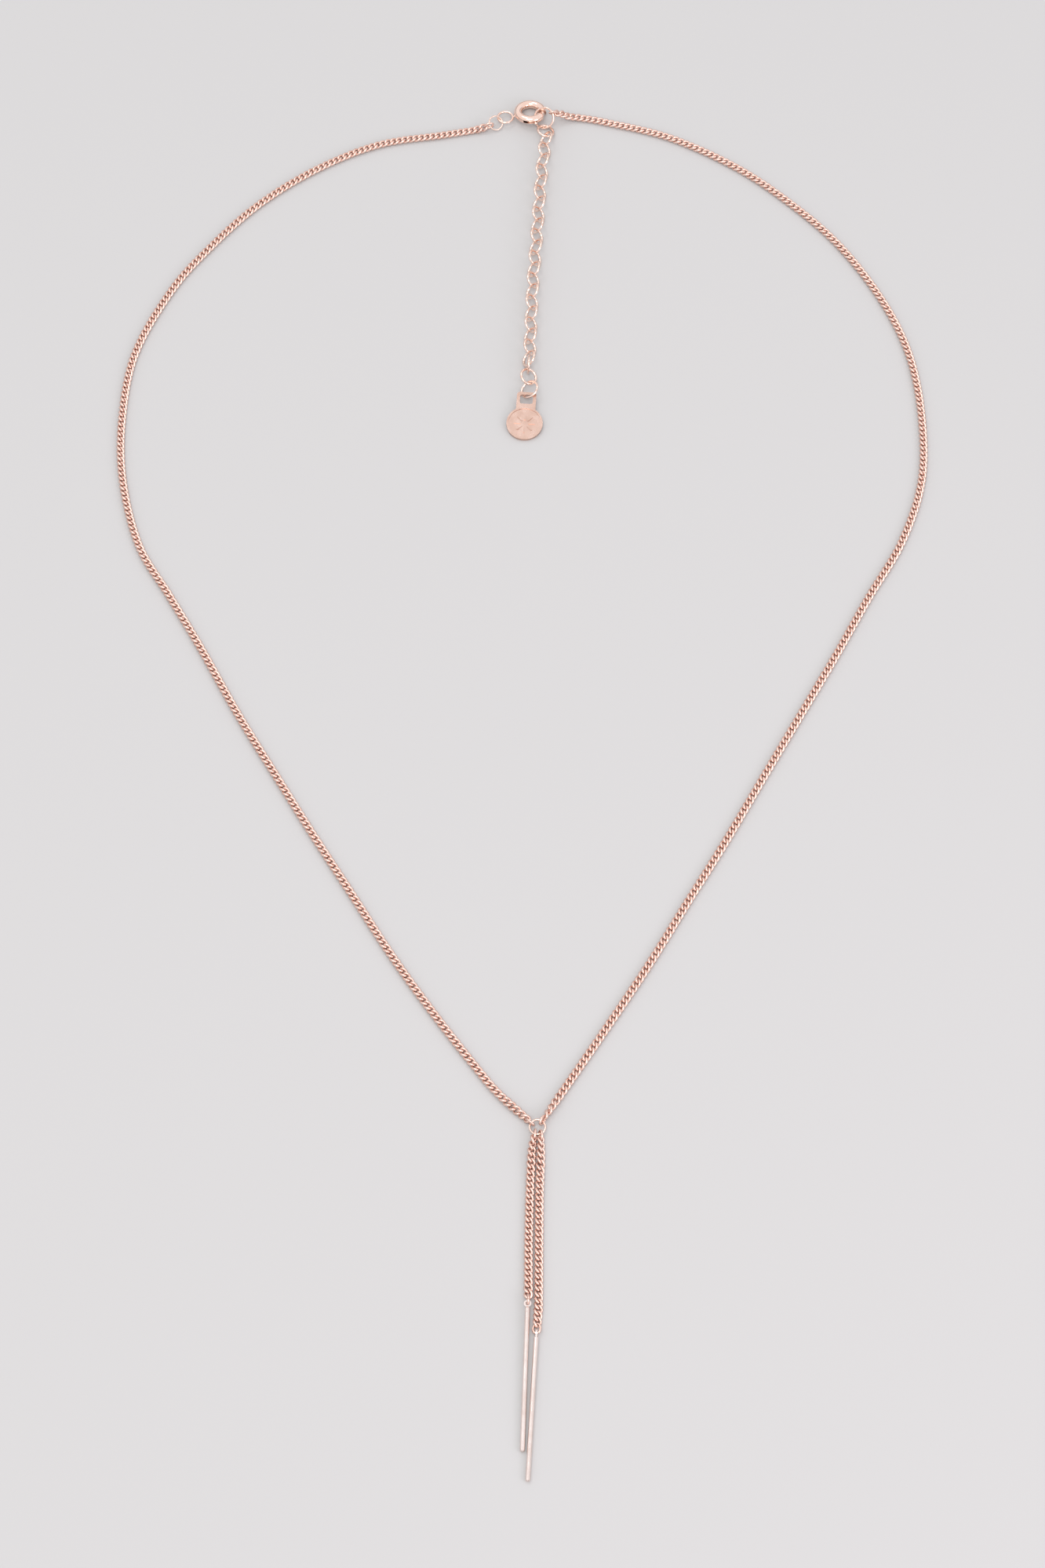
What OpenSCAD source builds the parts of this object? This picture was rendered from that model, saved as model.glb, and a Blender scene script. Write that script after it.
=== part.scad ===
/* [Chain] */
// Distance from one curb link to the next
link_pitch = 0.9; // [0.89:0.01:0.91]
// Wire diameter of the curb links
link_wire = 0.32; // [0.2:0.01:0.34]
// Half length of a curb link, to the middle of its wire
link_half_length = 0.68; // [0.67:0.01:0.69]
// Half width of a curb link, to the middle of its wire
link_half_width = 0.5; // [0.49:0.01:0.51]
// Twist of a curb link's ends, in degrees
link_twist = -55; // [-56:1:-54]
// Width over the links of the chain
chain_width = 1.26; // [1.1:0.02:1.3]
// Height over the links of the chain
chain_height = 0.76; // [0.7:0.02:0.78]

/* [Extender] */
// Number of round links in the extender
extender_links = 24; // [24:1:24]
// Radius of an extender link, to the middle of its wire
extender_r = 1.275; // [1.27:0.005:1.28]
// Wire radius of an extender link
extender_wire_r = 0.195; // [0.15:0.005:0.2]
// Angle at which the extender's links lean on the surface
extender_lean = 50; // [48:1:52]

/* [Clasp] */
// Radius of the spring ring, to the middle of its tube
clasp_r = 1.95; // [1.945:0.005:1.955]
// Radius of the spring ring's tube
clasp_tube_r = 0.65; // [0.63:0.005:0.655]
// Radius of the bolt that slides in the tube
bolt_r = 0.38; // [0.35:0.01:0.38]
// Running clearance round the bolt
bolt_clearance = 0.055; // [0.05:0.005:0.06]
// Width of the slot that the thumb knob slides in
slot_w = 0.42; // [0.42:0.01:0.46]
// Radius of the thumb knob's stem
knob_r = 0.18; // [0.15:0.01:0.18]

/* [Rings] */
// Radius of the ring that the clasp closes on
end_ring_r = 1.64; // [1.635:0.005:1.645]
// Wire radius of that ring
end_ring_wire_r = 0.165; // [0.12:0.005:0.17]
// Radius of the jump ring between the clasp and the left chain
clasp_ring_r = 1.1; // [1.09:0.01:1.11]
// Wire radius of that jump ring
clasp_ring_wire_r = 0.12; // [0.1:0.01:0.12]
// Radius of the ring that carries the tag
tag_ring_r = 1.42; // [1.41:0.01:1.43]
// Wire radius of the tag's ring
tag_ring_wire_r = 0.17; // [0.12:0.01:0.17]
// Radius of the ring where the two sides and the two drops meet
centre_ring_r = 1.12; // [1.11:0.01:1.13]
// Wire radius of the centre ring
centre_ring_wire_r = 0.15; // [0.1:0.01:0.15]

/* [Tag] */
// Radius of the round tag
tag_r = 2.8; // [2.7:0.05:2.8]
// Thickness of the tag's plate
tag_thickness = 0.36; // [0.3:0.01:0.36]
// Height of the raised rim and of the raised rays
relief_h = 0.12; // [0.05:0.01:0.15]
// Width of the raised rim
rim_w = 0.28; // [0.2:0.02:0.4]
// Number of raised rays in the tag's plain pattern
ray_count = 8; // [6:1:12]
// Length of a ray
ray_length = 1; // [0.6:0.1:1.2]
// Width of a ray
ray_w = 0.22; // [0.16:0.02:0.3]

/* [Bars] */
// Length of a bar drop, from the middle of its eye to its lower end
bar_length = 21.15; // [18:0.05:21.2]
// Diameter of a bar drop
bar_d = 0.7; // [0.6:0.02:0.7]
// Radius of a bar's flat eye
eye_r = 0.52; // [0.5:0.01:0.52]
// Radius of the hole through the eye
eye_hole_r = 0.27; // [0.26:0.01:0.28]
// Thickness of the eye
eye_thickness = 0.26; // [0.2:0.01:0.26]

/* [Hidden] */
$fn = 48;
rose_gold = "#dcb9a8";
overlap = 0.05;

// The neck loop's two sides, from the clasp to the centre ring
left_route = [
    [-5.29, 110.44, 0.94], [-6.6, 110.1, 0.63], [-8, 109.85, 0.44], [-12.5, 109, 0.4], [-23, 107, 0.4],
    [-33, 102, 0.4], [-42, 95, 0.4], [-49.5, 86.5, 0.4], [-55, 78.5, 0.4], [-60, 67, 0.4],
    [-61.5, 55.5, 0.4], [-61, 44, 0.4], [-58, 32, 0.4], [-53, 23, 0.4], [-48, 14, 0.4],
    [-42, 2.5, 0.4], [-36, -8, 0.4], [-30.5, -17.5, 0.4], [-24.5, -27.5, 0.4], [-18.5, -37.5, 0.4],
    [-12.5, -46.5, 0.4], [-6, -55.5, 0.4], [-3, -59.25, 0.5], [1.19, -63.35, 0.69]
];
right_route = [
    [5.1, 112.16, 2.02], [6.45, 112.45, 1.35], [7.7, 112.4, 0.75], [9.5, 112.35, 0.44], [13.5, 111.5, 0.4],
    [23.5, 108.5, 0.4], [33.5, 103, 0.4], [41.5, 96.5, 0.4], [49.5, 88, 0.4], [56, 77.5, 0.4],
    [60, 67, 0.4], [61.5, 55.5, 0.4], [61, 43.5, 0.4], [57.5, 32.5, 0.4], [52, 22.5, 0.4],
    [46.5, 12, 0.4], [41, 2, 0.4], [35.5, -8, 0.4], [29.5, -19, 0.4], [24, -28.5, 0.4],
    [18, -39, 0.4], [11.5, -49.5, 0.4], [6.5, -57.4, 0.46], [4.6, -60.4, 0.57], [2.93, -63.07, 0.69]
];
// The two drops, from the centre ring to the bars
left_drop_route = [
    [1.76, -65.23, 0.69], [1.38, -67.88, 0.6], [1.1, -74, 0.41], [0.92, -81.8, 0.4], [0.89, -88.25, 0.48],
    [0.84, -89.92, 0.71]
];
right_drop_route = [
    [2.61, -65.37, 0.64], [2.68, -67.88, 0.6], [2.46, -74, 0.45], [2.37, -81.8, 0.4], [2.33, -88.25, 0.4],
    [2.27, -91.1, 0.41], [2.04, -94.1, 0.52]
];
// The extender's line, from its second link to its last but two
extender_route = [
    [3.86, 107.53], [3.33, 103.25], [2.8, 96.2], [2.37, 88.9], [1.85, 81.6], [1.5, 74.5], [1.25, 67.4], [1.1, 65.45]
];

// A link's row: roll about the chain, twist of its ends, half length, half width
plain_link = [0, link_twist, link_half_length, link_half_width];
function rolled(roll) = [roll, link_twist, link_half_length, link_half_width];
function oval(roll) = [roll, -5, 0.7, 0.53];
// First and last links, counted inward from each end
left_first = [oval(94), rolled(-22), rolled(-11)];
left_last = [oval(-76), rolled(68), rolled(52), rolled(37), rolled(22), rolled(10)];
right_first = [oval(111), rolled(-15), rolled(-7)];
right_last = [oval(-72), rolled(73), rolled(52), rolled(36), rolled(22), rolled(11)];
left_drop_first = [oval(76), rolled(-70), rolled(-50), rolled(-34), rolled(-22), rolled(-11)];
left_drop_last = [oval(-98), rolled(18), rolled(8)];
right_drop_first = [oval(63), rolled(-60), rolled(-50), rolled(-35), rolled(-30), rolled(-7)];
right_drop_last = [oval(15), rolled(-23), rolled(-16), rolled(-7)];

// Steps of the smooth curve between two route points
curve_steps = 10;
// Points round a link, and sides of its wire
link_points = 12;
wire_sides = 6;
// Rings and sides of the tube that stands for a chain's middle
tube_rings = 40;
tube_sides = 8;
// Distance from a chain's end to the tube, past its separate links
function past(links) = (links - 1) * link_pitch + link_half_length + link_wire / 2 + 0.12;

// Point of a smooth curve between b and c, with a and d beyond them
function blend(a, b, c, d, t) =
    (2 * b + (c - a) * t + (2 * a - 5 * b + 4 * c - d) * t * t
        + (3 * b - a - 3 * c + d) * t * t * t) / 2;
function smooth(p) = [
    for (i = [0:len(p) - 2], k = [0:curve_steps - 1])
        blend(
            i > 0 ? p[i - 1] : 2 * p[0] - p[1], p[i], p[i + 1],
            i < len(p) - 2 ? p[i + 2] : 2 * p[i + 1] - p[i], k / curve_steps
        ),
    p[len(p) - 1]
];
function distances(p) = [
    for (i = 0, s = 0; i < len(p); s = s + norm(p[min(i + 1, len(p) - 1)] - p[i]), i = i + 1) s
];
// A line is three tables, of x, y and z against the distance along it
function line_of(route) = let (p = smooth(route), s = distances(p))
    [for (axis = [0:len(route[0]) - 1]) [for (i = [0:len(p) - 1]) [s[i], p[i][axis]]]];
function length_of(line) = line[0][len(line[0]) - 1][0];
function point_on(line, s) = [for (table = line) lookup(s, table)];
function unit(v) = v / norm(v);
function ahead(line, s, step) = unit(point_on(line, s + step) - point_on(line, s - step));
function beside(t) = unit(cross([0, 0, 1], t));

// A mesh is a list of points and a list of faces
function grid_faces(rows, sides, closed) = [
    for (k = [0:rows - (closed ? 1 : 2)], i = [0:sides - 1])
        let (a = k * sides, b = (k + 1) % rows * sides, j = (i + 1) % sides)
            each [[a + i, a + j, b + j], [a + i, b + j, b + i]]
];
// Middle of a link's wire at a turn round it, from the link's centre
function wire_middle(x, y, z, row, turn) = let (lean = row[0] + row[1] * cos(turn))
    row[2] * cos(turn) * x + row[3] * sin(turn) * (cos(lean) * y + sin(lean) * z);
function link_mesh(line, s, step, row) = let (
    x = ahead(line, s, step),
    y = beside(x),
    z = cross(x, y),
    centre = point_on(line, s),
    turn = 360 / link_points
) [
    [
        for (k = [0:link_points - 1])
            let (
                p = wire_middle(x, y, z, row, k * turn),
                t = unit(wire_middle(x, y, z, row, (k + 0.5) * turn)
                    - wire_middle(x, y, z, row, (k - 0.5) * turn)),
                out = unit(p - p * t * t),
                up = cross(t, out)
            )
                for (i = [0:wire_sides - 1])
                    let (a = 360 * i / wire_sides)
                        centre + p + link_wire / 2 * (cos(a) * out + sin(a) * up)
    ],
    grid_faces(link_points, wire_sides, true)
];
function tube_mesh(line, from, to) = let (step = (to - from) / (tube_rings - 1)) [
    [
        for (k = [0:tube_rings - 1])
            let (s = from + k * step, x = ahead(line, s, link_pitch), y = beside(x), z = cross(x, y))
                for (i = [0:tube_sides - 1])
                    let (a = 360 * i / tube_sides)
                        point_on(line, s) + chain_width / 2 * cos(a) * y + chain_height / 2 * sin(a) * z
    ],
    [
        each grid_faces(tube_rings, tube_sides, false),
        [for (i = [tube_sides - 1:-1:0]) i],
        [for (i = [0:tube_sides - 1]) (tube_rings - 1) * tube_sides + i]
    ]
];
function starts(meshes) = [
    for (i = 0, n = 0; i < len(meshes); n = n + len(meshes[i][0]), i = i + 1) n
];
function joined(meshes) = let (n = starts(meshes)) [
    [for (m = meshes) each m[0]],
    [for (i = [0:len(meshes) - 1]) for (face = meshes[i][1]) [for (v = face) v + n[i]]]
];
function row_of(k, last, first_rows, last_rows) =
    k < len(first_rows) ? first_rows[k] : last - k < len(last_rows) ? last_rows[last - k] : plain_link;

module solid(mesh) {
    polyhedron(points = mesh[0], faces = mesh[1], convexity = 10);
}
// A whole chain of interlocking curb links
module linked_chain(route, first_rows, last_rows) {
    line = line_of(route);
    last = round(length_of(line) / link_pitch);
    step = length_of(line) / last;
    solid(joined([
        for (k = [0:last]) link_mesh(line, k * step, step, row_of(k, last, first_rows, last_rows))
    ]));
}
// A long chain: a few links at each end, and a tube for the links between them
module tube_chain(route, first_rows, last_rows) {
    line = line_of(route);
    last = round(length_of(line) / link_pitch);
    step = length_of(line) / last;
    solid(joined([
        for (k = [0:len(first_rows) - 1]) link_mesh(line, k * step, step, first_rows[k]),
        tube_mesh(line, past(len(first_rows)), length_of(line) - past(len(last_rows))),
        for (k = [0:len(last_rows) - 1]) link_mesh(line, (last - k) * step, step, last_rows[k])
    ]));
}
// A round wire ring
module torus(r, wire_r) {
    rotate_extrude() translate([r, 0]) circle(wire_r);
}
// A ring on the surface: the side that faces the azimuth is the raised one
module leaning_ring(place, r, wire_r, lean, azimuth) {
    color(rose_gold) translate(place) rotate([0, 0, azimuth]) rotate([0, -lean, 0]) torus(r, wire_r);
}

module left_chain() {
    color(rose_gold) tube_chain(left_route, left_first, left_last);
}
module right_chain() {
    color(rose_gold) tube_chain(right_route, right_first, right_last);
}
module left_drop_chain() {
    color(rose_gold) linked_chain(left_drop_route, left_drop_first, left_drop_last);
}
module right_drop_chain() {
    color(rose_gold) linked_chain(right_drop_route, right_drop_first, right_drop_last);
}

// The spring ring lies with its near side raised, and its axis is the bolt's
clasp_place = [1.33, 113.03, 1.089];
clasp_tilt = 13;
// Angles round the ring: the gap, the bolt's blind seat, its channel and its slot
gap_from = -34;
gap_to = -4;
seat_to = 4;
channel_from = -136;
slot_from = -114.5;
slot_to = -65.5;
bolt_from = -94;
bolt_to = 1;
knob_at = -72;
// The loop that the jump ring goes through, and the short neck that solders it on
tail_place = [-2.66, 112.16, 0.9];
tail_tilt = 7;
tail_r = 1.2;
tail_wire_r = 0.18;
neck_start = [-1.48, 112.21, 0.9];
neck_end = [-0.95, 112.33, 1.1];
neck_r = 0.15;

// Part of a round tube from one angle to another
module arc(r, tube_r, from, to) {
    rotate([0, 0, from]) rotate_extrude(angle = to - from) translate([r, 0]) circle(tube_r);
}
module in_clasp() {
    translate(clasp_place) rotate([-clasp_tilt, 0, 0]) children();
}
// A round stem from one point to another
module stem(from, to, r) {
    v = to - from;
    translate(from) rotate([0, acos(v[2] / norm(v)), atan2(v[1], v[0])]) cylinder(r = r, h = norm(v));
}
module clasp_body() {
    bore_r = bolt_r + bolt_clearance;
    color(rose_gold) {
        in_clasp() difference() {
            arc(clasp_r, clasp_tube_r, gap_to, 360 + gap_from);
            arc(clasp_r, bore_r, gap_to - 2, seat_to);
            arc(clasp_r, bore_r, 360 + channel_from, 360 + gap_from + 2);
            rotate([0, 0, slot_from]) rotate_extrude(angle = slot_to - slot_from)
                translate([clasp_r, -slot_w / 2]) square([2 * clasp_tube_r, slot_w]);
        }
        translate(tail_place) rotate([-tail_tilt, 0, 0]) torus(tail_r, tail_wire_r);
        stem(neck_start, neck_end, neck_r);
    }
}
module clasp_bolt() {
    knob_length = clasp_tube_r + 0.35;
    color(rose_gold) in_clasp() {
        arc(clasp_r, bolt_r, bolt_from, bolt_to);
        rotate([0, 0, knob_at]) translate([clasp_r, 0, 0]) {
            rotate([0, 90, 0]) cylinder(r = knob_r, h = knob_length);
            translate([knob_length, 0, 0]) sphere(0.25);
        }
    }
}
module clasp_jump_ring() {
    leaning_ring([-4.18, 111, 0.93], clasp_ring_r, clasp_ring_wire_r, 32, 120);
}
module end_ring() {
    leaning_ring([3.56, 111.74, 1.248], end_ring_r, end_ring_wire_r, 40.9, 56);
}
module centre_ring() {
    leaning_ring([2.2, -64.05, 0.55], centre_ring_r, centre_ring_wire_r, 0, 0);
}
module tag_ring() {
    leaning_ring([1.17, 59.72, 1.07], tag_ring_r, tag_ring_wire_r, 31.2, 0.4);
}

// Links at the extender's ends: place, lean and pitch
extender_first = [[3.8, 109.58, 0.7], 166.5, -14];
extender_last = [[[1.03, 64.01, 1.49], 86.6, -4.3], [[1.04, 61.93, 1.31], 152, 5.4]];

module round_link(place, heading, lean, pitch) {
    color(rose_gold) translate(place) rotate([0, 0, heading]) rotate([0, pitch, 0])
        rotate([lean, 0, 0]) torus(extender_r, extender_wire_r);
}
module extender_link(i) {
    line = line_of(extender_route);
    step = length_of(line) / (extender_links - 4);
    s = (i - 2) * step;
    t = ahead(line, s, step);
    lift = extender_r * sin(extender_lean) + extender_wire_r;
    if (i == 1)
        round_link(extender_first[0], -92, extender_first[1], extender_first[2]);
    else if (i > extender_links - 2)
        let (row = extender_last[i - extender_links + 1]) round_link(row[0], -92, row[1], row[2]);
    else
        round_link([each point_on(line, s), lift], atan2(t[1], t[0]),
            i % 2 == 0 ? extender_lean : 180 - extender_lean, 0);
}

// The tag's far end is raised on its ring; its lowest edge is on the surface
tag_place = [0.223, 51.001, 0];
tag_tilt = 6;
tag_yaw = -4;
// The squared bail above the disc, and the opening through it
bail_w = 3;
bail_top = 5.4;
bail_corner_r = 0.5;
opening_w = 2;
opening_from = 3.4;
opening_to = 4.95;
opening_corner_r = 0.35;

// A slab with rounded corners, from one y to another, standing on z = 0
module rounded_slab(w, from, to, r, h) {
    translate([r - w / 2, from, 0]) cube([w - 2 * r, to - from, h]);
    translate([-w / 2, from + r, 0]) cube([w, to - from - 2 * r, h]);
    for (x = [r - w / 2, w / 2 - r], y = [from + r, to - r]) translate([x, y, 0]) cylinder(r = r, h = h);
}
module tag() {
    ray_from = 0.6;
    color(rose_gold) translate(tag_place) rotate([tag_tilt, 0, tag_yaw]) translate([0, tag_r, 0]) {
        difference() {
            union() {
                cylinder(r = tag_r, h = tag_thickness);
                rounded_slab(bail_w, 0, bail_top, bail_corner_r, tag_thickness);
            }
            translate([0, 0, -1])
                rounded_slab(opening_w, opening_from, opening_to, opening_corner_r, tag_thickness + 2);
        }
        translate([0, 0, tag_thickness - overlap]) difference() {
            cylinder(r = tag_r, h = relief_h + overlap);
            translate([0, 0, -1]) cylinder(r = tag_r - rim_w, h = relief_h + 2);
        }
        for (k = [1:ray_count]) rotate([0, 0, 360 * k / ray_count])
            translate([ray_from, -ray_w / 2, tag_thickness - overlap])
                cube([ray_length, ray_w, relief_h + overlap]);
    }
}

// A bar with its eye: place of the eye, heading along the bar, and roll of the eye. The link
// in the eye props it up, and the bar slopes down to rest on its lower end
module bar(place, heading, roll) {
    neck_from = eye_r - 0.1;
    neck_length = 0.25;
    chamfer = 0.1;
    straight = bar_length - neck_from - neck_length - chamfer;
    slope = asin((place[2] - bar_d / 2) / bar_length);
    color(rose_gold) translate(place) rotate([0, slope, heading]) {
        rotate([roll, 0, 0]) difference() {
            cylinder(r = eye_r, h = eye_thickness, center = true);
            cylinder(r = eye_hole_r, h = 2, center = true);
        }
        translate([neck_from, 0, 0]) rotate([0, 90, 0]) {
            cylinder(r1 = eye_thickness / 2, r2 = bar_d / 2, h = neck_length);
            translate([0, 0, neck_length]) cylinder(d = bar_d, h = straight);
            translate([0, 0, neck_length + straight])
                cylinder(r1 = bar_d / 2, r2 = bar_d / 2 - chamfer, h = chamfer);
        }
    }
}
module left_bar() {
    bar([0.8, -90.55, 0.74], -92, 0);
}
module right_bar() {
    bar([2.01, -94.75, 0.53], -93.3, 90);
}

left_chain();
right_chain();
clasp_body();
clasp_bolt();
clasp_jump_ring();
end_ring();
for (i = [1:extender_links]) extender_link(i);
tag_ring();
tag();
centre_ring();
left_drop_chain();
right_drop_chain();
left_bar();
right_bar();
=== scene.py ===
"""A y necklace laid flat: curb chain loop, two bar drops, spring ring clasp, extender and tag."""
from math import cos, pi, radians, sin

import bpy
import numpy as np
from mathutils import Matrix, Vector


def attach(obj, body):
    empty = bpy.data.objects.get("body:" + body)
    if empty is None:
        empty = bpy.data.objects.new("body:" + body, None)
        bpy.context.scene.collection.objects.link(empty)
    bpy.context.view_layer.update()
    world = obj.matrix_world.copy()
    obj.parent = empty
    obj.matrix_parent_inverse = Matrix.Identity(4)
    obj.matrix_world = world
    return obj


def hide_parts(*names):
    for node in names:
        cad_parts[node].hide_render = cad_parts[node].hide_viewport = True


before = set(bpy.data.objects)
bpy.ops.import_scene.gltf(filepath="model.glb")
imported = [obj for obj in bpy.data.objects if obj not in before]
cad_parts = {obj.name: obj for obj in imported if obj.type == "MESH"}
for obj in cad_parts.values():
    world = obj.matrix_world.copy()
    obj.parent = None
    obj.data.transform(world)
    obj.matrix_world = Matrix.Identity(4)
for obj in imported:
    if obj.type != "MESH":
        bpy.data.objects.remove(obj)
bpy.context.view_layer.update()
scene = bpy.context.scene


# The camera looks down on the necklace from the side of the drops, 28.55 degrees off the
# vertical. Its distance and lens come from the link pitch along both sides of the loop.
view_target = np.array([0.0001, -0.009, 0.0])
view_tilt = radians(28.55)
view_distance = 0.61449
camera_data = bpy.data.cameras.new("camera")
camera_data.lens = 96.21
camera_data.sensor_width = 36
camera_data.clip_start = 0.01
camera = bpy.data.objects.new("camera", camera_data)
camera.rotation_euler = (view_tilt, 0, 0)
camera.location = view_target + view_distance * np.array([0, -sin(view_tilt), cos(view_tilt)])
scene.collection.objects.link(camera)
scene.camera = camera


# The stage is a sheet of matt off-white paper on a table in a pale room. A wide softbox lights
# it from the front left and a small one from the far left, with a window on the near right.
def linear(hex_colour):
    """Turns an sRGB hex colour into the linear red, green, blue and alpha that Blender takes,
    by the sRGB standard's curve: a straight part for the darkest values and a power above."""
    srgb = np.array([int(hex_colour[i:i + 2], 16) for i in (1, 3, 5)]) / 255
    low, high = srgb / 12.92, ((srgb + 0.055) / 1.055) ** 2.4
    return (*np.where(srgb <= 0.04045, low, high), 1)


def new_material(name):
    """An empty node material, its node tree, and its Principled shader."""
    material = bpy.data.materials.new(name)
    material.use_nodes = True
    return material, material.node_tree, material.node_tree.nodes["Principled BSDF"]


def add_node(tree, kind, settings=None, links=None):
    """Adds a node, sets its sockets' values, and links its sockets to other nodes."""
    node = tree.nodes.new(kind)
    for name, value in (settings or {}).items():
        node.inputs[name].default_value = value
    for name, socket in (links or {}).items():
        tree.links.new(socket, node.inputs[name])
    return node


MM = 0.001
paper_half = 1500 * MM
paper_mesh = bpy.data.meshes.new("paper")
paper_mesh.from_pydata(
    [(x * paper_half, y * paper_half, 0) for x, y in ((-1, -1), (1, -1), (1, 1), (-1, 1))],
    [], [(0, 1, 2, 3)])
paper = bpy.data.objects.new("paper", paper_mesh)
scene.collection.objects.link(paper)
# Uncoated paper: matt, with a tooth that is barely seen.
tooth_width = 0.2 * MM
tooth_depth = 0.02 * MM
paper_stock, tree, shader = new_material("uncoated_paper")
shader.inputs["Base Color"].default_value = linear("#c6c6c6")
shader.inputs["Roughness"].default_value = 0.9
shader.inputs["Specular IOR Level"].default_value = 0.2
place = add_node(tree, "ShaderNodeTexCoord")
tooth = add_node(tree, "ShaderNodeTexNoise", {"Scale": 1 / tooth_width, "Detail": 2},
                 {"Vector": place.outputs["Object"]})
relief = add_node(tree, "ShaderNodeBump", {"Strength": 0.05, "Distance": tooth_depth},
                  {"Height": tooth.outputs["Fac"]})
tree.links.new(relief.outputs["Normal"], shader.inputs["Normal"])
paper_mesh.materials.append(paper_stock)


def soft_light(name, place, target, size, power, colour):
    """A square area light of that size in metres and power in watts, at a place, that faces
    the target."""
    data = bpy.data.lights.new(name, "AREA")
    data.size = size
    data.energy = power
    data.color = linear(colour)[:3]
    light = bpy.data.objects.new(name, data)
    light.location = place
    light.rotation_euler = (Vector(target) - Vector(place)).to_track_quat("-Z", "Y").to_euler()
    scene.collection.objects.link(light)


# The main softbox gives the broad light and the short shadows to the right of each wire; the
# far one draws the bright line along the left of the bars. The window lifts the paper in the
# picture's lower right corner.
soft_light("softbox", (-0.10, -0.35, 1.05), (0, 0, 0), size=0.5, power=3.2, colour="#fffdfb")
soft_light("far_softbox", (-0.32, 0.52, 1.0), (0, 0, 0), size=0.3, power=1.1, colour="#ffffff")
soft_light("window", (0.45, -0.36, 0.3), (0.16, -0.18, 0), size=0.25, power=0.7, colour="#fdf0fa")
# The room is as pale as the paper, and darker low down, past the edge of the table.
world = bpy.data.worlds.new("pale_room")
world.use_nodes = True
tree = world.node_tree
room = add_node(tree, "ShaderNodeTexCoord")
height = add_node(tree, "ShaderNodeSeparateXYZ", None, {"Vector": room.outputs["Generated"]})
walls = add_node(tree, "ShaderNodeValToRGB", None, {"Fac": height.outputs["Z"]})
walls.color_ramp.elements[0].position = 0.05
walls.color_ramp.elements[0].color = linear("#7d7a79")
walls.color_ramp.elements[1].position = 0.3
walls.color_ramp.elements[1].color = linear("#e4e2e3")
tree.links.new(walls.outputs["Color"], tree.nodes["Background"].inputs["Color"])
tree.nodes["Background"].inputs["Strength"].default_value = 1.25
scene.world = world
scene.view_settings.view_transform = "Standard"


# The neck loop's left side is curb chain 1.3 mm wide: oval links of round wire, twisted so that
# they lie flat in line, machine made and plated in rose gold. It runs from the clasp's jump
# ring to the centre ring, where its last links turn upright.
LINK_PITCH = 0.9 * MM
# A link is its roll and twist in degrees, and its half length, half width and wire radius in mm.
CURB_TWIST = -55
PLAIN_LINK = (0, CURB_TWIST, 0.68, 0.465, 0.195)


def rolled(roll):
    """A curb link turned about the chain, a little more open than the plain ones."""
    return (roll, CURB_TWIST, 0.68, 0.5, 0.19)


def oval(roll):
    """A plain oval end link, barely twisted, that threads a ring or a bar's eye."""
    return (roll, -5, 0.7, 0.53, 0.175)


def smooth_line(route, steps=10):
    """Catmull-Rom curve through the route's points in mm: each span is the cubic whose slope
    at a point is half the step from the point before it to the point after it."""
    knots = np.array(route) * MM
    knots = np.vstack([2 * knots[0] - knots[1], knots, 2 * knots[-1] - knots[-2]])
    before, start, end = knots[:-3, None], knots[1:-2, None], knots[2:-1, None]
    after = knots[3:, None]
    way = (np.arange(steps) / steps)[None, :, None]
    curve = (2 * start + (end - before) * way
             + (2 * before - 5 * start + 4 * end - after) * way ** 2
             + (3 * start - before - 3 * end + after) * way ** 3) / 2
    return np.vstack([curve.reshape(-1, 3), knots[-2]])


def even_points(line, pitch):
    """Points at equal distances of about the pitch along the line, its two ends included."""
    travelled = np.r_[0, np.cumsum(np.linalg.norm(np.diff(line, axis=0), axis=1))]
    stops = np.linspace(0, travelled[-1], round(travelled[-1] / pitch) + 1)
    return np.stack([np.interp(stops, travelled, line[:, axis]) for axis in range(3)], -1)


def unit(vectors):
    """The vectors, each divided by its own length."""
    return vectors / np.linalg.norm(vectors, axis=-1, keepdims=True)


def looped_wires(middles, wire_r, sides):
    """Closed round wires: at each point of a wire's middle line, a circle of points is set
    square to the line, with its first point on the side away from the loop's centre."""
    along = unit(np.roll(middles, -1, 1) - np.roll(middles, 1, 1))
    out = middles - middles.mean(1, keepdims=True)
    out = unit(out - (out * along).sum(-1, keepdims=True) * along)
    up = np.cross(along, out)
    turn = 2 * pi * np.arange(sides) / sides
    return (middles[:, :, None] + wire_r * (np.cos(turn)[:, None] * out[:, :, None]
                                            + np.sin(turn)[:, None] * up[:, :, None]))


def closed_loops(name, grids):
    """A smooth mesh of tubes that close on themselves both ways: grids is an array of loops by
    points by sides by 3, and each square of four neighbouring points is a face."""
    loops, points, sides, _ = grids.shape
    index = np.arange(loops * points * sides).reshape(loops, points, sides)
    ahead = np.roll(index, -1, 1)
    corners = (index, ahead, np.roll(ahead, -1, 2), np.roll(index, -1, 2))
    faces = np.stack(corners, -1).reshape(-1, len(corners))
    mesh = bpy.data.meshes.new(name)
    mesh.vertices.add(grids.size // 3)
    mesh.vertices.foreach_set("co", grids.ravel())
    mesh.loops.add(faces.size)
    mesh.loops.foreach_set("vertex_index", faces.ravel().astype(np.int32))
    mesh.polygons.add(len(faces))
    starts = np.arange(0, faces.size, len(corners), dtype=np.int32)
    mesh.polygons.foreach_set("loop_start", starts)
    mesh.polygons.foreach_set("use_smooth", np.ones(len(faces), dtype=bool))
    mesh.update(calc_edges=True)
    piece = bpy.data.objects.new(name, mesh)
    scene.collection.objects.link(piece)
    return piece


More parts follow.
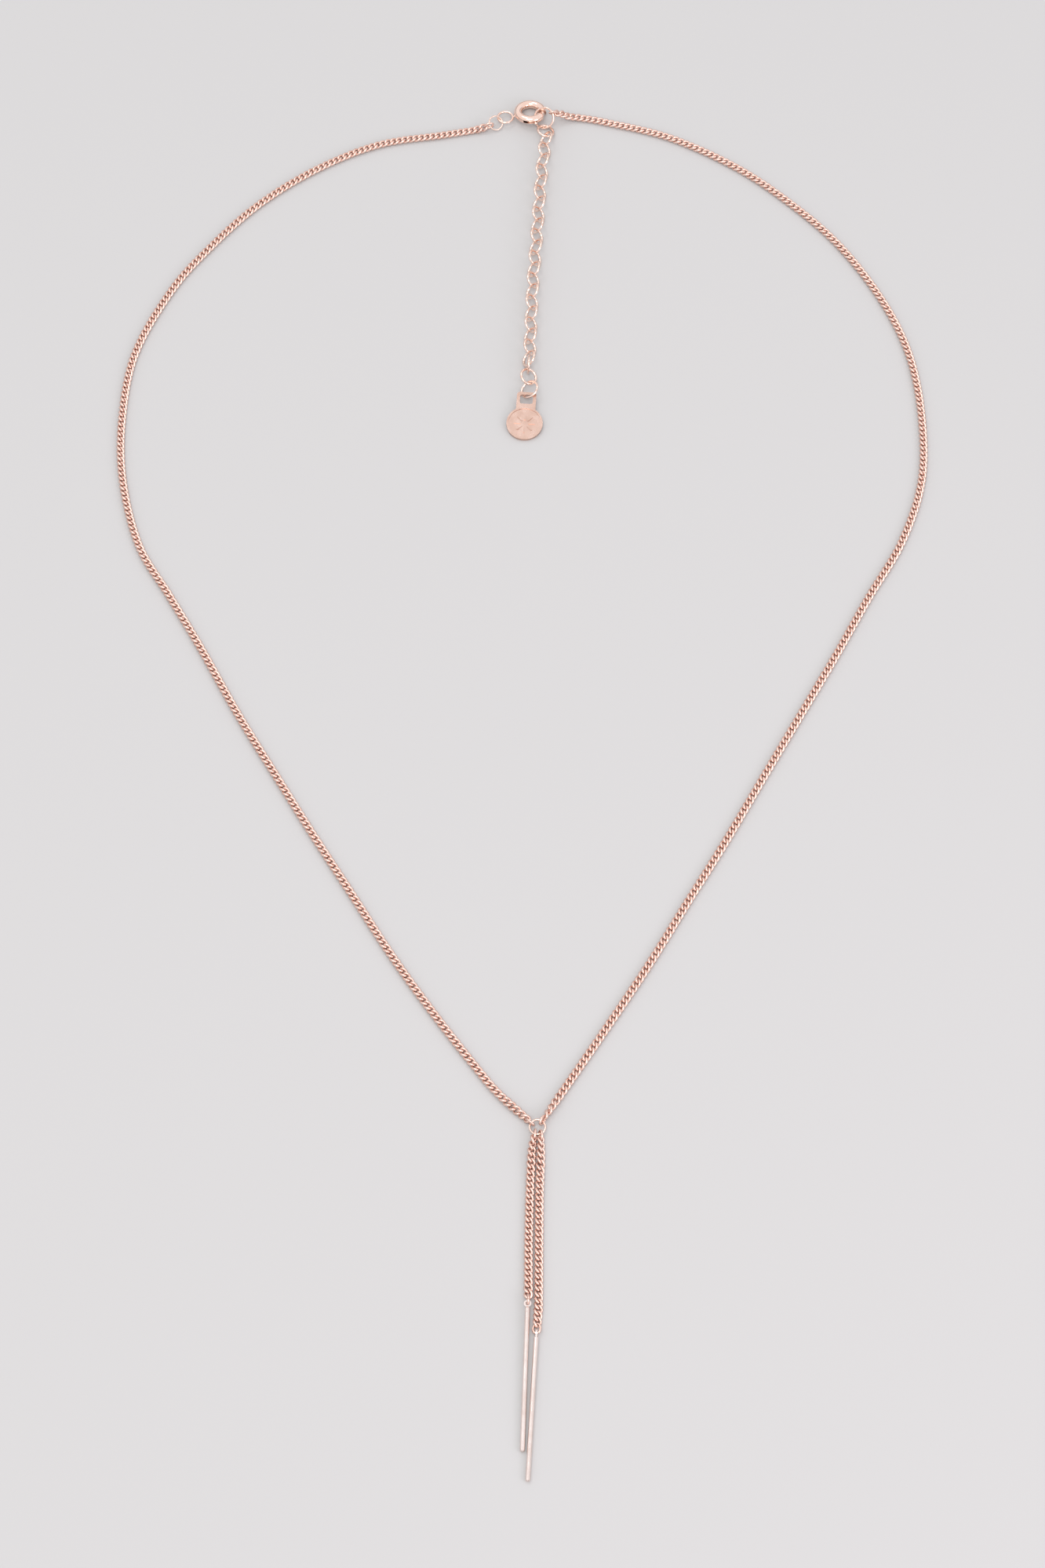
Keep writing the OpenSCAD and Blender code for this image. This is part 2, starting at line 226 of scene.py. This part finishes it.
def curb_chain(name, route, first, last, points=20, sides=8):
    """Links at even steps along the route. Round a link, by an angle, its wire's middle goes
    half length times the cosine along the chain and half width times the sine across it, in a
    direction that leans by the link's roll plus its twist times the cosine. The links in first
    and last are counted inward from each end, and all others are plain."""
    centres = even_points(smooth_line(route), LINK_PITCH)
    steps = [centres[1] - centres[0], centres[2:] - centres[:-2], centres[-1] - centres[-2]]
    along = unit(np.vstack(steps))
    across = unit(np.cross([0, 0, 1], along))
    up = np.cross(along, across)
    links = np.tile(np.array(PLAIN_LINK, float), (len(centres), 1))
    links[:len(first)] = first
    links[-len(last):] = last[::-1]
    roll, twist, half_length, half_width, wire_r = links.T[..., None]
    angle = 2 * pi * np.arange(points) / points
    lean = np.radians(roll + twist * np.cos(angle))
    middles = (centres[:, None]
               + (half_length * MM * np.cos(angle))[..., None] * along[:, None]
               + (half_width * MM * np.sin(angle) * np.cos(lean))[..., None] * across[:, None]
               + (half_width * MM * np.sin(angle) * np.sin(lean))[..., None] * up[:, None])
    return closed_loops(name, looped_wires(middles, wire_r[..., None, None] * MM, sides))


def rose_gold_plating(name, deep_tone, pale_tone, roughness, cloud_mm):
    """Plated metal whose tone and gloss wander a little, in clouds of that size. Their values
    lie mostly between 0.3 and 0.7. The metal goes with them from a fifth smoother to a quarter
    rougher than the roughness given."""
    material, tree, shader = new_material(name)
    shader.inputs["Metallic"].default_value = 1
    place = add_node(tree, "ShaderNodeTexCoord")
    cloud = add_node(tree, "ShaderNodeTexNoise", {"Scale": 1 / (cloud_mm * MM), "Detail": 3},
                     {"Vector": place.outputs["Object"]})
    gloss = add_node(tree, "ShaderNodeMapRange",
                     {"From Min": 0.3, "From Max": 0.7,
                      "To Min": roughness * 0.8, "To Max": roughness * 1.25},
                     {"Value": cloud.outputs["Fac"]})
    tree.links.new(gloss.outputs["Result"], shader.inputs["Roughness"])
    tone = add_node(tree, "ShaderNodeValToRGB", None, {"Fac": cloud.outputs["Fac"]})
    tone.color_ramp.elements[0].position = 0.35
    tone.color_ramp.elements[0].color = linear(deep_tone)
    tone.color_ramp.elements[1].position = 0.65
    tone.color_ramp.elements[1].color = linear(pale_tone)
    tree.links.new(tone.outputs["Color"], shader.inputs["Base Color"])
    return material


# Plating on tumbled links: a warm pink with a soft gloss, in clouds a link long.
chain_metal = rose_gold_plating("rose_gold_plated_links", "#edcabc", "#f4d7cb", 0.3, 0.8)


def add_chain(node, route, first, last):
    """The curb chain that takes the place of a node's plain tube or coarse links."""
    links = curb_chain(node + "_links", route, first, last)
    links.data.materials.append(chain_metal)
    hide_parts(node)
    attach(links, "necklace")


# A route is the chain's middle line in mm, through the same points as in part.scad.
left_route = [
    (-5.29, 110.44, 0.94), (-6.6, 110.1, 0.63), (-8, 109.85, 0.44), (-12.5, 109, 0.4),
    (-23, 107, 0.4), (-33, 102, 0.4), (-42, 95, 0.4), (-49.5, 86.5, 0.4), (-55, 78.5, 0.4),
    (-60, 67, 0.4), (-61.5, 55.5, 0.4), (-61, 44, 0.4), (-58, 32, 0.4), (-53, 23, 0.4),
    (-48, 14, 0.4), (-42, 2.5, 0.4), (-36, -8, 0.4), (-30.5, -17.5, 0.4), (-24.5, -27.5, 0.4),
    (-18.5, -37.5, 0.4), (-12.5, -46.5, 0.4), (-6, -55.5, 0.4), (-3, -59.25, 0.5),
    (1.19, -63.35, 0.69)]
add_chain("left_chain", left_route, [oval(94), rolled(-22), rolled(-11)],
          [oval(-76), rolled(68), rolled(52), rolled(37), rolled(22), rolled(10)])


# The right side is the same plated curb chain, soldered shut on the end ring. From there, high
# over the clasp's tube, it comes down to the surface and goes round to the centre ring.
right_route = [
    (5.1, 112.16, 2.02), (6.45, 112.45, 1.35), (7.7, 112.4, 0.75), (9.5, 112.35, 0.44),
    (13.5, 111.5, 0.4), (23.5, 108.5, 0.4), (33.5, 103, 0.4), (41.5, 96.5, 0.4), (49.5, 88, 0.4),
    (56, 77.5, 0.4), (60, 67, 0.4), (61.5, 55.5, 0.4), (61, 43.5, 0.4), (57.5, 32.5, 0.4),
    (52, 22.5, 0.4), (46.5, 12, 0.4), (41, 2, 0.4), (35.5, -8, 0.4), (29.5, -19, 0.4),
    (24, -28.5, 0.4), (18, -39, 0.4), (11.5, -49.5, 0.4), (6.5, -57.4, 0.46), (4.6, -60.4, 0.57),
    (2.93, -63.07, 0.69)]
add_chain("right_chain", right_route, [oval(111), rolled(-15), rolled(-7)],
          [oval(-72), rolled(73), rolled(52), rolled(36), rolled(22), rolled(11)])


# The rings are bent from round wire and soldered shut: the small jump ring behind the clasp,
# the end ring that the clasp closes on, the centre ring that holds both sides and both drops,
# and the tag's ring. The CAD's own meshes are shown, in bright drawn wire's glossier plating.
wire_metal = rose_gold_plating("rose_gold_plated_wire", "#f6d8c9", "#fbe4d8", 0.2, 1.5)


def cover(name, metal):
    """Puts that metal in a CAD node's one material slot."""
    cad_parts[name].material_slots[0].material = metal


for name in ("clasp_jump_ring", "end_ring", "centre_ring", "tag_ring"):
    cover(name, wire_metal)


# The spring ring clasp is a bent tube with a gap, and a bolt with a thumb knob that slides in it
# on a coil spring. Both are drawn, bent and buffed on a wheel, so their plating is the
# glossiest part of the necklace.
clasp_metal = rose_gold_plating("rose_gold_plated_clasp", "#f8d7c7", "#fde2d5", 0.16, 2.0)
cover("clasp_body", clasp_metal)
cover("clasp_bolt", clasp_metal)


# The extender is a chain of round links, bent from wire and soldered, from the end ring to the
# tag's ring. They lean by turns to one side and the other; the last but one is nearly upright.
EXTENDER_LINKS = 24
for number in range(1, EXTENDER_LINKS + 1):
    cover("extender_link_" + str(number), wire_metal)


# The tag is a disc stamped from sheet, with a squared bail, a raised rim and plain raised rays.
# Its plating has a satin face, softer than the wire's.
sheet_metal = rose_gold_plating("rose_gold_plated_sheet", "#d6b5a5", "#dbbfb2", 0.25, 2.0)
cover("tag", sheet_metal)


# The two drops are the same curb chain as the sides; they hang from the centre ring upright and
# turn flat within a few links. Each one's last link threads its bar's eye.
left_drop_route = [
    (1.76, -65.23, 0.69), (1.38, -67.88, 0.6), (1.1, -74, 0.41), (0.92, -81.8, 0.4),
    (0.89, -88.25, 0.48), (0.84, -89.92, 0.71)]
add_chain("left_drop_chain", left_drop_route,
          [oval(76), rolled(-70), rolled(-50), rolled(-34), rolled(-22), rolled(-11)],
          [oval(-98), rolled(18), rolled(8)])
right_drop_route = [
    (2.61, -65.37, 0.64), (2.68, -67.88, 0.6), (2.46, -74, 0.45), (2.37, -81.8, 0.4),
    (2.33, -88.25, 0.4), (2.27, -91.1, 0.41), (2.04, -94.1, 0.52)]
add_chain("right_drop_chain", right_drop_route,
          [oval(63), rolled(-60), rolled(-50), rolled(-35), rolled(-30), rolled(-7)],
          [oval(15), rolled(-23), rolled(-16), rolled(-7)])


# The bars are lengths of round rod, turned down to a flat eye at the top. They are polished
# along their length, so their plating is pale and bright, with a sharp line of light.
rod_metal = rose_gold_plating("rose_gold_plated_rod", "#f3e2db", "#f9ece7", 0.18, 2.0)
for name in ("left_bar", "right_bar"):
    cover(name, rod_metal)
